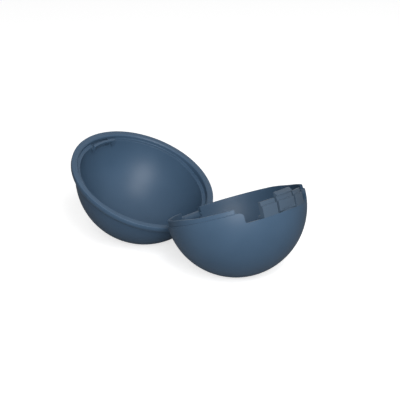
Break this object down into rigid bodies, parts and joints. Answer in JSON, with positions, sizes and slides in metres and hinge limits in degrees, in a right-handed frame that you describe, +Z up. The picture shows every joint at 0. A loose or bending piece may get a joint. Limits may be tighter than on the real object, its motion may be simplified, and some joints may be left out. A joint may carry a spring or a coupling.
{
  "type": "pacifier steriliser case",
  "caption": "Round clamshell case for a pacifier: thin half-ball shells on a hinge pin, a banded lid, and a front recess with a spring latch that a pacifier's ring loops around.",
  "frame": {"origin": "centre of the open case's footprint, on the surface that both shells rest on", "axes": "+X from the lid to the base and its latch, +Y along the hinge pin, +Z up"},
  "size_m": [0.1188, 0.067, 0.0456],
  "materials": {
    "base_plastic": "fine satin moulded polypropylene, deep navy",
    "lid_plastic": "fine satin moulded polypropylene, deep navy",
    "latch_plastic": "fine satin moulded plastic, navy a little greyer than the shells",
    "pin_steel": "drawn stainless wire"
  },
  "bodies": {
    "base": {"base_shell": "base_plastic", "latch_post": "latch_plastic", "hinge_pin": "pin_steel"},
    "lid": {"lid_shell": "lid_plastic", "guard_bar": "lid_plastic"},
    "tongue": {"latch_tongue": "latch_plastic"}
  },
  "joints": [
    {"name": "lid_hinge", "type": "hinge", "parent": "base", "child": "lid", "pos_m": [0.00042, 0, 0.01764], "axis": [0, 1, 0], "range_deg": [0, 132.8]},
    {"name": "latch_flex", "type": "hinge", "parent": "base", "child": "tongue", "pos_m": [0.05756, 0, 0.03806], "axis": [0, -1, 0], "range_deg": [0, 5.5], "stiffness_Nm_per_rad": 0.05}
  ]
}
